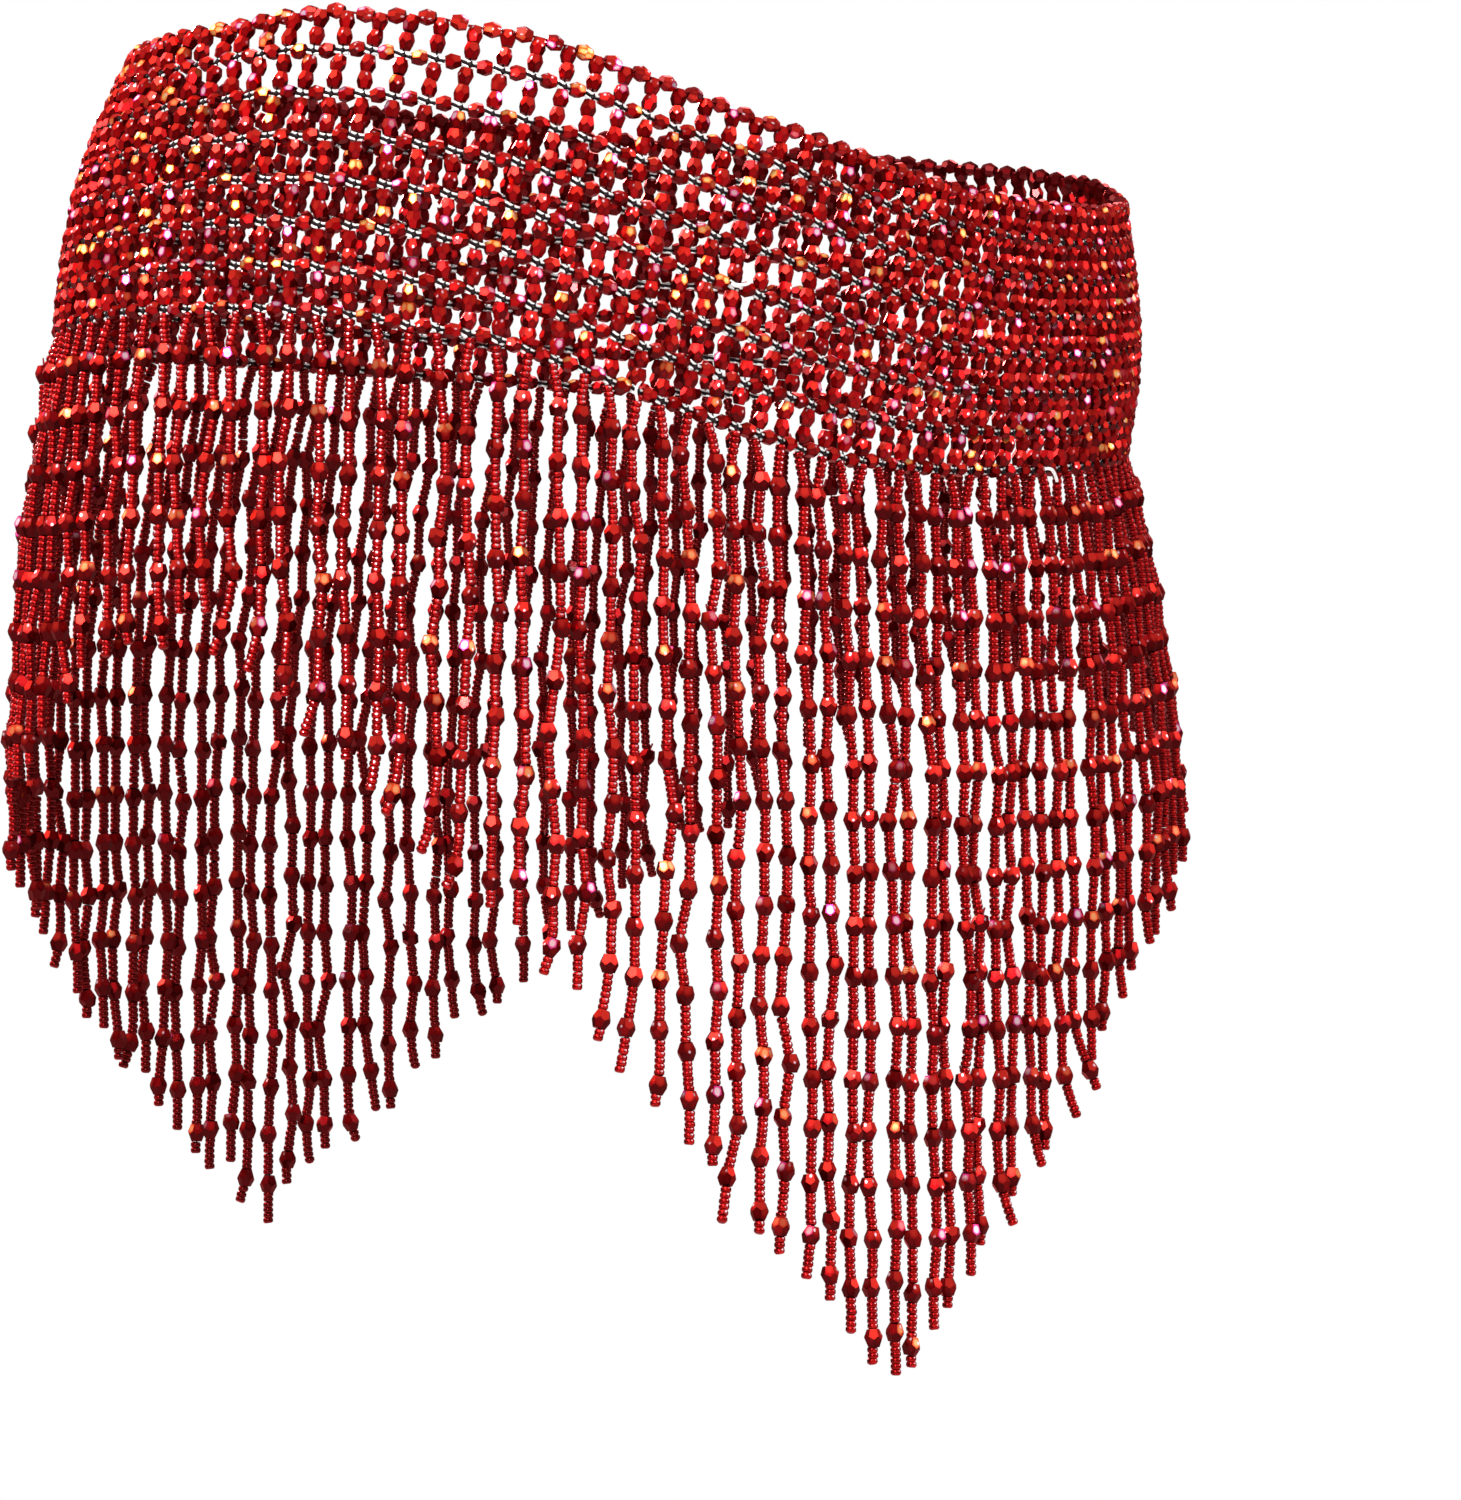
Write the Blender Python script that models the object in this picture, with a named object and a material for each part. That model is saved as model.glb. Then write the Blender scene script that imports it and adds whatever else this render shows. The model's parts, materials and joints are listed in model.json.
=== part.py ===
"""Beaded hip scarf: a closed ring of bead net with a picot edge and a pointed bead fringe.

Sizes are in millimetres and are turned into metres where a point is made. +Z is up and -Y is the
front. The origin is the middle of the hollow that the net goes round. A place on the ring is a
share of the girth, 0 at the front centre, 0.25 at the garment's right hip, 0.5 at the back centre
and 0.75 at its left hip. A place on the net is a drop, 0 at the picot edge and 1 at the bottom row.
"""
import math
import random
from collections import namedtuple

import bmesh
import bpy
from mathutils import Vector

MM = 0.001

# Counts of the bead net
COLUMNS = 120
CELLS = 7

# Beads and seams
BEAD = 4.4
THREAD_PAIR = 1.8
SEAM = 0.3

# Net wall: how far its faces lie from the plane of the threads
NET_INSIDE = -BEAD / 2
NET_OPENING = 0.2
FIRST_CELL = 0.87

# Picot edge between the columns' heads
PICOT_NECK_RADIUS = 1.3
PICOT_NECK_TOP = 0.8

# Fringe
STRIP_HEIGHT = 2.0
STRAND_WIDTH = 2.6
PAIR_DRAW = 0.5
HANG_DEPTH = 120.0
TAIL = 20.0
SECTION_SPACING = 44.0
SWAY_START = 30.0
DRIFT = (-0.8, 0.8)
WAVE = (0.26, 0.52)
WAVE_LENGTH = (60.0, 110.0)
GROUP_SWAY = 1.25
GROUP_WAVES = 4
FLICK_SHARE = 0.45
FLICK_ASIDE = (2.0, 5.0)
FLICK_OUT = (0.0, 3.0)
STRANDS_A_HALF = COLUMNS // 2
FRONT_FIRST_STRAND = 1 - COLUMNS // 4
LAST_STRAND = FRONT_FIRST_STRAND + COLUMNS - 1

# Edges sharper than this are drawn sharp
SHARP_ANGLE = math.radians(35)

# Hip outline: a rounded oval whose depth keeps this ratio to its width
DEPTH_RATIO = 0.6225
OVAL_POWER = 2.3
OVAL_STEPS = 1440

Section = namedtuple("Section", "drop half_width set_back")
HIP_SECTIONS = (
    Section(drop=0.00, half_width=165.0, set_back=-5.5),
    Section(drop=0.33, half_width=173.5, set_back=-0.5),
    Section(drop=0.67, half_width=178.0, set_back=3.0),
    Section(drop=1.00, half_width=178.0, set_back=7.0),
)

Station = namedtuple("Station", "share top_height bottom_height top_slide lean")
STATIONS = (
    Station(share=0.00, top_height=1.0, bottom_height=-75.0, top_slide=-14.5, lean=3.5),
    Station(share=0.05, top_height=8.5, bottom_height=-71.0, top_slide=-11.0, lean=2.5),
    Station(share=0.10, top_height=19.5, bottom_height=-60.0, top_slide=-4.0, lean=2.0),
    Station(share=0.15, top_height=33.5, bottom_height=-45.5, top_slide=0.5, lean=1.0),
    Station(share=0.20, top_height=40.5, bottom_height=-38.0, top_slide=7.0, lean=0.5),
    Station(share=0.25, top_height=38.0, bottom_height=-36.0, top_slide=9.0, lean=6.0),
    Station(share=0.30, top_height=35.5, bottom_height=-37.5, top_slide=9.0, lean=12.0),
    Station(share=0.40, top_height=34.0, bottom_height=-39.5, top_slide=7.0, lean=13.0),
    Station(share=0.50, top_height=33.0, bottom_height=-40.0, top_slide=3.0, lean=12.0),
    Station(share=0.60, top_height=31.0, bottom_height=-42.0, top_slide=-1.0, lean=12.0),
    Station(share=0.70, top_height=26.5, bottom_height=-46.0, top_slide=-6.0, lean=12.0),
    Station(share=0.80, top_height=16.0, bottom_height=-55.5, top_slide=-11.0, lean=16.0),
    Station(share=0.85, top_height=6.0, bottom_height=-65.5, top_slide=-13.0, lean=16.0),
    Station(share=0.90, top_height=1.0, bottom_height=-71.0, top_slide=-14.5, lean=9.0),
    Station(share=0.95, top_height=-1.0, bottom_height=-74.5, top_slide=-15.0, lean=4.0),
)

FringeMark = namedtuple("FringeMark", "strand length")
FRINGE_MARKS = (
    FringeMark(strand=-29, length=82.0),
    FringeMark(strand=-25, length=84.0),
    FringeMark(strand=-11, length=154.0),
    FringeMark(strand=2, length=249.0),
    FringeMark(strand=28, length=82.0),
    FringeMark(strand=31, length=84.0),
    FringeMark(strand=59, length=249.0),
    FringeMark(strand=86, length=84.0),
    FringeMark(strand=91, length=82.0),
)

Finish = namedtuple("Finish", "color roughness metallic")
RUBY_BEADS = Finish(color=(0.42, 0.006, 0.012, 1.0), roughness=0.22, metallic=0.35)
DEEP_RUBY_BEADS = Finish(color=(0.30, 0.004, 0.010, 1.0), roughness=0.25, metallic=0.35)


def slope(rows, index, field):
    """Slope of one column of a table at one of its rows."""
    before = rows[max(index - 1, 0)]
    after = rows[min(index + 1, len(rows) - 1)]
    return (after[field] - before[field]) / (after[0] - before[0])


def row_at(rows, place):
    """Row of values at a place, on a smooth curve through the table. The first column is the place."""
    low = max([0] + [index for index, row in enumerate(rows[:-1]) if row[0] <= place])
    start = rows[low]
    end = rows[low + 1]
    span = end[0] - start[0]
    t = (place - start[0]) / span
    values = []
    for field in range(1, len(start)):
        leave = slope(rows, low, field) * span
        arrive = slope(rows, low + 1, field) * span
        value = (2 * t**3 - 3 * t**2 + 1) * start[field] + (t**3 - 2 * t**2 + t) * leave
        value += (3 * t**2 - 2 * t**3) * end[field] + (t**3 - t**2) * arrive
        values.append(value)
    return type(start)(place, *values)


def wrapped(rows):
    """A table round the ring with its last rows repeated before it and its first rows after it."""
    before = [row._replace(share=row.share - 1.0) for row in rows[-3:]]
    after = [row._replace(share=row.share + 1.0) for row in rows[:3]]
    return before + list(rows) + after


def oval_points():
    """Points of the oval of half width 1 with their share of its girth, and that girth."""
    points = []
    length = 0.0
    for step in range(OVAL_STEPS + 1):
        angle = 2 * math.pi * step / OVAL_STEPS
        side = math.copysign(abs(math.sin(angle)) ** (2 / OVAL_POWER), math.sin(angle))
        front = math.copysign(abs(math.cos(angle)) ** (2 / OVAL_POWER), math.cos(angle))
        point = (-side, -front * DEPTH_RATIO)
        if points:
            length += math.dist(point, points[-1][1])
        points.append((length, point))
    return [(along / length, point) for along, point in points], length


ROUND = wrapped(STATIONS)
OVAL, OVAL_GIRTH = oval_points()
TOP_GIRTH = OVAL_GIRTH * HIP_SECTIONS[0].half_width
BOTTOM_GIRTH = OVAL_GIRTH * HIP_SECTIONS[-1].half_width


def oval_at(share):
    """Point of the oval of half width 1 at a share of its girth."""
    share %= 1.0
    low = 0
    high = OVAL_STEPS
    while high - low > 1:
        middle = (low + high) // 2
        if OVAL[middle][0] <= share:
            low = middle
        else:
            high = middle
    start, end = OVAL[low], OVAL[high]
    t = (share - start[0]) / (end[0] - start[0])
    return [a + (b - a) * t for a, b in zip(start[1], end[1])]


def thread_plane(share, drop):
    """Point in the plane of the net's threads, in millimetres."""
    station = row_at(ROUND, share % 1.0)
    section = row_at(HIP_SECTIONS, drop)
    across, back = oval_at(share + (1 - drop) * station.top_slide / TOP_GIRTH)
    height = station.top_height + (station.bottom_height - station.top_height) * drop
    return Vector((across * section.half_width, back * section.half_width + section.set_back, height))


def outward(share, drop):
    """Direction out of the net at a place on it."""
    nudge = 0.001
    along = thread_plane(share + nudge, drop) - thread_plane(share - nudge, drop)
    upper = max(drop - nudge, 0.0)
    lower = min(drop + nudge, 1.0)
    down = thread_plane(share, lower) - thread_plane(share, upper)
    return along.cross(down).normalized()


def net_point(share, drop, out, lift=0.0):
    """Point at a distance out of the thread plane and a height over its own place, in metres."""
    point = thread_plane(share, drop) + outward(share, drop) * out
    point.z += lift
    return point * MM


def row_drop(line):
    """Drop of a row line. The first cell is shorter than the others, under the picot edge."""
    if line <= 1:
        return line * FIRST_CELL / (CELLS - 1 + FIRST_CELL)
    return (FIRST_CELL + line - 1) / (CELLS - 1 + FIRST_CELL)


def finish_material(name, finish):
    """Material with the finish's colour, roughness and metallic value."""
    material = bpy.data.materials.new(name)
    material.use_nodes = True
    shader = material.node_tree.nodes["Principled BSDF"]
    shader.inputs["Base Color"].default_value = finish.color
    shader.inputs["Roughness"].default_value = finish.roughness
    shader.inputs["Metallic"].default_value = finish.metallic
    return material


def place_object(name, mesh_builder, material):
    """New object from a bmesh, with its faces pointing out."""
    bmesh.ops.recalc_face_normals(mesh_builder, faces=mesh_builder.faces)
    mesh = bpy.data.meshes.new(name)
    mesh_builder.to_mesh(mesh)
    mesh_builder.free()
    mesh.shade_smooth()
    mesh.set_sharp_from_angle(angle=SHARP_ANGLE)
    mesh.materials.append(material)
    piece = bpy.data.objects.new(name, mesh)
    bpy.context.scene.collection.objects.link(piece)
    return piece


def skin(mesh_builder, sections, closed):
    """Faces between sections of equal length, either closed into a ring or capped at its ends."""
    loops = [[mesh_builder.verts.new(point) for point in section] for section in sections]
    sides = len(loops[0])
    spans = []
    pairs = list(zip(loops, loops[1:]))
    if closed:
        pairs.append((loops[-1], loops[0]))
    for first, second in pairs:
        span = []
        for side in range(sides):
            after = (side + 1) % sides
            corners = (first[side], second[side], second[after], first[after])
            span.append(mesh_builder.faces.new(corners))
        spans.append(span)
    if not closed:
        mesh_builder.faces.new(loops[0])
        mesh_builder.faces.new(loops[-1])
    return spans


def picot_section(half_column):
    """Corners of the picot edge: a bead between two columns, a thin neck at a column."""
    share = half_column / (2 * COLUMNS)
    at_bead = half_column % 2 == 1
    radius = BEAD / 2 if at_bead else PICOT_NECK_RADIUS
    top = BEAD / 2 if at_bead else PICOT_NECK_TOP
    low = -BEAD / 2
    return [
        net_point(share, 0.0, -radius, low),
        net_point(share, 0.0, radius, low),
        net_point(share, 0.0, radius, top),
        net_point(share, 0.0, -radius, top),
    ]


def net_relief(half_column, half_row):
    """How far the net's outer face stands out: beads on the lines, threads where lines cross."""
    on_column = half_column % 2 == 0
    on_row = half_row % 2 == 0
    if on_column and on_row:
        return THREAD_PAIR / 2
    if on_column or on_row:
        return BEAD / 2
    return NET_OPENING


def net_section(half_column):
    """Upright section of the net wall: beaded outer face, plain inner face."""
    share = half_column / (2 * COLUMNS)
    lift_top = -BEAD / 2 - SEAM
    lift_bottom = -BEAD / 2
    section = []
    for half_row in range(2 * CELLS + 1):
        line = half_row // 2
        drop = row_drop(line)
        if half_row % 2 == 1:
            drop = (drop + row_drop(line + 1)) / 2
        lift = {0: lift_top, 2 * CELLS: lift_bottom}.get(half_row, 0.0)
        section.append(net_point(share, drop, net_relief(half_column, half_row), lift))
    section.append(net_point(share, 1.0, NET_INSIDE, lift_bottom))
    section.append(net_point(share, 0.5, NET_INSIDE))
    section.append(net_point(share, 0.0, NET_INSIDE, lift_top))
    return section


def strand_length(strand):
    """Length of a strand, straight between the fringe's marks."""
    for start, end in zip(FRINGE_MARKS, FRINGE_MARKS[1:]):
        if start.strand <= strand <= end.strand:
            t = (strand - start.strand) / (end.strand - start.strand)
            return start.length + (end.length - start.length) * t
    raise ValueError(f"strand {strand} is outside the fringe's marks")


def strand_share(strand):
    """Place of a strand's root. The two strands of a pair are drawn together under one bead."""
    toward_partner = 1 if strand % 2 == 1 else -1
    return strand / COLUMNS + toward_partner * PAIR_DRAW / BOTTOM_GIRTH


class Strand:
    """One hanging strand: where it starts, how long it is and how it sways."""

    def __init__(self, strand):
        chance = random.Random(strand)
        self.share = strand_share(strand)
        self.length = strand_length(strand)
        self.root = thread_plane(self.share, 1.0)
        self.root.z -= BEAD / 2 + SEAM
        self.out = outward(self.share, 1.0)
        self.out.z = 0.0
        self.out.normalize()
        self.aside = Vector((0, 0, 1)).cross(self.out)
        self.lean = row_at(ROUND, self.share % 1.0).lean
        self.drift = chance.uniform(*DRIFT)
        self.wave = chance.uniform(*WAVE)
        self.wave_length = chance.uniform(*WAVE_LENGTH)
        self.phase = chance.uniform(0.0, 2 * math.pi)
        self.group_phase = 2 * math.pi * GROUP_WAVES * self.share
        flicks = chance.random() < FLICK_SHARE
        shorter_side = 1 if strand_length(min(strand + 1, LAST_STRAND)) < self.length else -1
        self.flick_aside = chance.uniform(*FLICK_ASIDE) * -shorter_side * flicks
        self.flick_out = chance.uniform(*FLICK_OUT) * flicks

    def centre(self, depth):
        """Middle of the strand at a depth under its root, in metres."""
        hang = 1 - (1 - min(depth / HANG_DEPTH, 1.0)) ** 2
        fade = min(depth / SWAY_START, 1.0)
        flick = max(0.0, 1 - (self.length - depth) / TAIL) ** 2
        sway = self.drift * depth / self.length
        sway += self.wave * math.sin(2 * math.pi * depth / self.wave_length + self.phase)
        sway += GROUP_SWAY * math.sin(self.group_phase + depth / HANG_DEPTH) * depth / HANG_DEPTH
        point = self.root + self.out * (self.lean * hang + self.flick_out * flick)
        point += self.aside * (sway * fade + self.flick_aside * flick)
        point.z -= depth
        return point * MM

    def depths(self):
        """Depths of the strand's sections, evenly spaced down to the tail and then its end."""
        body = self.length - TAIL
        count = max(2, round(body / SECTION_SPACING))
        return [STRIP_HEIGHT] + [body * step / count for step in range(1, count + 1)] + [self.length]


def strip_section(share):
    """Corners of the narrow strip that the strands hang from, under the net's bottom edge."""
    top = -BEAD / 2 - SEAM
    low = top - STRIP_HEIGHT
    half = STRAND_WIDTH / 2
    return [
        net_point(share, 1.0, half, low),
        net_point(share, 1.0, -half, low),
        net_point(share, 1.0, -half, top),
        net_point(share, 1.0, half, top),
    ]


def make_fringe(name, first_strand, material):
    """Half of the fringe: a strip along the net's bottom edge with its strands drawn down from it."""
    builder = bmesh.new()
    strands = [Strand(first_strand + step) for step in range(STRANDS_A_HALF)]
    half_root = STRAND_WIDTH / 2 / BOTTOM_GIRTH
    end_gap = SEAM / 2 / BOTTOM_GIRTH
    shares = [(first_strand - 0.5) / COLUMNS + end_gap]
    for strand in strands:
        shares += [strand.share - half_root, strand.share + half_root]
    shares.append((first_strand + STRANDS_A_HALF - 0.5) / COLUMNS - end_gap)
    spans = skin(builder, [strip_section(share) for share in shares], closed=False)
    bmesh.ops.recalc_face_normals(builder, faces=builder.faces)
    underside = 0
    for number, strand in enumerate(strands):
        root = spans[2 * number + 1][underside]
        depths = strand.depths()
        for above, below in zip(depths, depths[1:]):
            root = bmesh.ops.extrude_discrete_faces(builder, faces=[root])["faces"][0]
            step = strand.centre(below) - strand.centre(above)
            bmesh.ops.translate(builder, verts=root.verts, vec=step)
    return place_object(name, builder, material)


def make_ring(name, section, material):
    """Closed ring from one section at each half column."""
    builder = bmesh.new()
    skin(builder, [section(half_column) for half_column in range(2 * COLUMNS)], closed=True)
    return place_object(name, builder, material)


def main():
    """Make the scarf's four pieces."""
    for old in list(bpy.data.objects):
        bpy.data.objects.remove(old)
    ruby = finish_material("ruby_beads", RUBY_BEADS)
    deep_ruby = finish_material("deep_ruby_beads", DEEP_RUBY_BEADS)
    make_ring("top_edging", picot_section, deep_ruby)
    make_ring("net_band", net_section, ruby)
    make_fringe("fringe_front", FRONT_FIRST_STRAND, ruby)
    make_fringe("fringe_back", FRONT_FIRST_STRAND + STRANDS_A_HALF, ruby)


main()
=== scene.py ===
"""Looks of a worn beaded hip scarf: a ring of ruby bead net, its picot edge and its pointed fringe.

Sizes of the scarf are in millimetres and become metres where a mesh is made. The studio's are in
metres. +Z is up and -Y is the front. A place on the ring is a share of its girth, 0 at the front
centre, 0.25 at the garment's right hip, 0.5 at the back centre and 0.75 at its left hip. A place on
the net is a drop, 0 at the picot edge and 1 at the bottom row.
"""
from __future__ import annotations

import json
import logging
import math
import random
from dataclasses import dataclass
from enum import Enum
from typing import NamedTuple

import bmesh
import bpy
import numpy as np
from bpy.types import Material, Node, NodeSocket, NodeTree, Object
from mathutils import Matrix, Vector
from numpy import ndarray
from numpy.random import Generator, default_rng

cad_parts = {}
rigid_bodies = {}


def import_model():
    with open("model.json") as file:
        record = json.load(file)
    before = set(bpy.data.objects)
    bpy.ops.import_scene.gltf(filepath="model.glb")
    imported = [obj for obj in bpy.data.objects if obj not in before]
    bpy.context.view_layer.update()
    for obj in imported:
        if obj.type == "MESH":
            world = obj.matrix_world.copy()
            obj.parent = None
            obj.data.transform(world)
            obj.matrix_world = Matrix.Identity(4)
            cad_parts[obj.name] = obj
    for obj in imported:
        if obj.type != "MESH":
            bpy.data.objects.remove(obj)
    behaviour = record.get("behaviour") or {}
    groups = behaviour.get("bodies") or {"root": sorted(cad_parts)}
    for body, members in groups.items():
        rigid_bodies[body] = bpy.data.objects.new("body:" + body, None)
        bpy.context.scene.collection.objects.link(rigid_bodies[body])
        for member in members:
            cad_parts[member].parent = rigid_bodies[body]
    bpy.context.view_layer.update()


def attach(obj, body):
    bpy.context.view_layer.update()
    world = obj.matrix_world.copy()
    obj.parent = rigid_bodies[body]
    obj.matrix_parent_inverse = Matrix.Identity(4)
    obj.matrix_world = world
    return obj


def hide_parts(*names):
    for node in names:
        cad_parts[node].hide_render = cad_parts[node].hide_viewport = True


log = logging.getLogger("hip_scarf")

MM = 0.001
FULL_TURN = 2 * math.pi
UPWARD = np.array((0.0, 0.0, 1.0))

Colour = tuple[float, float, float]
Place = tuple[float, float, float]
Span = tuple[float, float]


class Slot(Enum):
    """Names of material slots for the pieces."""

    EDGING = "edging_beads"
    NET = "net_beads"
    FRINGE = "fringe_beads"
    THREAD = "thread"


class Section(NamedTuple):
    """Half width of the hip oval, and how far it sits back, at a drop."""

    drop: float
    half_width: float
    set_back: float


SECTIONS = (
    Section(0.00, 165.0, -5.5),
    Section(0.33, 173.5, -0.5),
    Section(0.67, 178.0, 3.0),
    Section(1.00, 178.0, 7.0),
)


class Station(NamedTuple):
    """Heights of the net's two edges, slide of its top row and lean of the fringe, at a share."""

    share: float
    top_height: float
    bottom_height: float
    top_slide: float
    lean: float


STATIONS = tuple(Station(*row) for row in (
    (0.00, 1.0, -75.0, -14.5, 3.5),
    (0.05, 8.5, -71.0, -11.0, 2.5),
    (0.10, 19.5, -60.0, -4.0, 2.0),
    (0.15, 33.5, -45.5, 0.5, 1.0),
    (0.20, 40.5, -38.0, 7.0, 0.5),
    (0.25, 38.0, -36.0, 9.0, 6.0),
    (0.30, 35.5, -37.5, 9.0, 12.0),
    (0.40, 34.0, -39.5, 7.0, 13.0),
    (0.50, 33.0, -40.0, 3.0, 12.0),
    (0.60, 31.0, -42.0, -1.0, 12.0),
    (0.70, 26.5, -46.0, -6.0, 12.0),
    (0.80, 16.0, -55.5, -11.0, 16.0),
    (0.85, 6.0, -65.5, -13.0, 16.0),
    (0.90, 1.0, -71.0, -14.5, 9.0),
    (0.95, -1.0, -74.5, -15.0, 4.0),
))

# Lengths of some strands of the fringe, by their numbers.
STRAND_LENGTHS = {
    -29: 82.0, -25: 84.0, -11: 154.0, 2: 249.0, 28: 82.0, 31: 84.0, 59: 249.0, 86: 84.0, 91: 82.0,
}


def unit(vectors: ndarray) -> ndarray:
    """Vectors of length 1 along the last axis."""
    return vectors / np.linalg.norm(vectors, axis=-1, keepdims=True)


class SmoothTable:
    """A table of values read on a smooth curve through its rows. The first column is the place."""

    def __init__(self, rows: list[tuple]) -> None:
        """Keeps the rows and works out each one's slopes.

        Args:
            rows: Rows in the order of their places.
        """
        self.rows = np.array(rows, float)
        padded = np.pad(self.rows, ((1, 1), (0, 0)), mode="edge")
        rise = padded[2:] - padded[:-2]
        self.slopes = rise / rise[:, :1]

    def at(self, places: ndarray) -> ndarray:
        """Values at some places.

        Args:
            places: Places in the table's range.

        Returns:
            One row of values for each place, without the place itself.
        """
        low = np.searchsorted(self.rows[:, 0], places, side="right") - 1
        low = np.clip(low, 0, len(self.rows) - 2)
        start = self.rows[low]
        end = self.rows[low + 1]
        span = end[:, :1] - start[:, :1]
        t = (places[:, None] - start[:, :1]) / span
        values = (2 * t**3 - 3 * t**2 + 1) * start + (t**3 - 2 * t**2 + t) * self.slopes[low] * span
        values += (3 * t**2 - 2 * t**3) * end + (t**3 - t**2) * self.slopes[low + 1] * span
        return values[:, 1:]


@dataclass
class HipForm:
    """The oval ring that the net goes round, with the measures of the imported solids."""

    columns: int = 120
    cells: int = 7
    bead: float = 4.4
    seam: float = 0.3
    first_cell: float = 0.87
    depth_ratio: float = 0.6225
    oval_power: float = 2.3
    oval_steps: int = 1440
    nudge: float = 0.001

    def __post_init__(self) -> None:
        """Makes the tables that places are read from, and measures the oval."""
        turns = (-1.0, 0.0, 1.0)
        rows = [row._replace(share=row.share + turn) for turn in turns for row in STATIONS]
        self.stations = SmoothTable(rows)
        self.sections = SmoothTable([*SECTIONS])
        angle = FULL_TURN * np.arange(self.oval_steps + 1) / self.oval_steps
        waves = np.array((np.sin(angle), np.cos(angle)))
        side, front = np.sign(waves) * np.abs(waves) ** (2 / self.oval_power)
        around = np.array((-side, -front * self.depth_ratio))
        steps = np.linalg.norm(np.diff(around), axis=0)
        length = np.concatenate(((0.0,), np.cumsum(steps)))
        self.girth = float(length[-1])
        self.oval = (length / self.girth, *around)

    def point(self, share: ndarray, drop: ndarray) -> ndarray:
        """Points in the plane of the net's threads.

        Args:
            share: Places round the ring.
            drop: Places down the net, one for each share.

        Returns:
            One point in millimetres for each place.
        """
        top, bottom, slide, _ = self.stations.at(share % 1.0).T
        half_width, set_back = self.sections.at(drop).T
        around = (share + (1 - drop) * slide / (self.girth * SECTIONS[0].half_width)) % 1.0
        across, back = (np.interp(around, self.oval[0], values) for values in self.oval[1:])
        height = top + (bottom - top) * drop
        return np.stack((across * half_width, back * half_width + set_back, height), axis=1)

    def outward(self, share: ndarray, drop: ndarray) -> ndarray:
        """Directions out of the net.

        Args:
            share: Places round the ring.
            drop: Places down the net, one for each share.

        Returns:
            One direction of length 1 for each place.
        """
        along = self.point(share + self.nudge, drop) - self.point(share - self.nudge, drop)
        upper, lower = np.clip((drop - self.nudge, drop + self.nudge), 0.0, 1.0)
        down = self.point(share, lower) - self.point(share, upper)
        return unit(np.cross(along, down))

    def row_drop(self, line: int) -> float:
        """Drop of a row line. The first cell is shorter than the others, under the picot edge."""
        cells_above = self.first_cell + line - 1 if line else 0.0
        return cells_above / (self.first_cell + self.cells - 1)


def turned(axis: ndarray, toward: ndarray, spin: ndarray | float = 0.0) -> ndarray:
    """Frames whose third column is an axis and whose first column looks toward something.

    Args:
        axis: Directions of the third column.
        toward: Directions that the first column is nearest to.
        spin: Turn of each frame about its axis, in radians.

    Returns:
        One 3 by 3 frame for each axis, with the own axes as its columns.
    """
    up = unit(axis)
    side = unit(toward - up * np.sum(toward * up, axis=1, keepdims=True))
    across = np.cross(up, side)
    angle = np.reshape(spin, (-1, 1))
    first = side * np.cos(angle) + across * np.sin(angle)
    return np.stack((first, np.cross(up, first), up), axis=2)


class Copies(NamedTuple):
    """Where the copies of one shape go."""

    middles: ndarray
    frames: ndarray
    outward: ndarray


def joined(parts: list[tuple[ndarray, ...]]) -> list[ndarray]:
    """The first arrays of all the parts as one array, then the second ones, and so on."""
    return [np.concatenate(arrays) for arrays in zip(*parts)]


@dataclass(frozen=True)
class Hang:
    """How evenly beads hang on their thread: spread of their tilt, and of their place."""

    tilt: float
    shift: float
    spins: bool = True

    def strung(self, middles: ndarray, axis: ndarray, outward: ndarray, chance: Generator) -> Copies:
        """Copies of a bead strung along an axis, each a little out of line.

        Args:
            middles: Middles of the beads.
            axis: Directions of the thread through them.
            outward: Directions away from the hips.
            chance: Source of the small differences.

        Returns:
            The copies.
        """
        count = len(middles)
        lean = chance.normal(0.0, self.tilt, (count, 3))
        spin = chance.uniform(0.0, FULL_TURN, count) if self.spins else 0.0
        moved = middles + chance.normal(0.0, self.shift, (count, 3))
        return Copies(moved, turned(unit(axis) + lean, outward, spin), outward)


def placed(name: str, data: bpy.types.ID) -> Object:
    """A new object in the scene.

    Args:
        name: Its name.
        data: Its mesh, camera or light.

    Returns:
        The object.
    """
    thing = bpy.data.objects.new(name, data)
    bpy.context.scene.collection.objects.link(thing)
    return thing


class PaintedLight(NamedTuple):
    """How much painted light a corner gets in its colour for how far it faces out and up, and how high it
    lies on its shape.
    """

    out: float = 0.25
    up: float = 0.45
    high: float = 0.0


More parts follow.
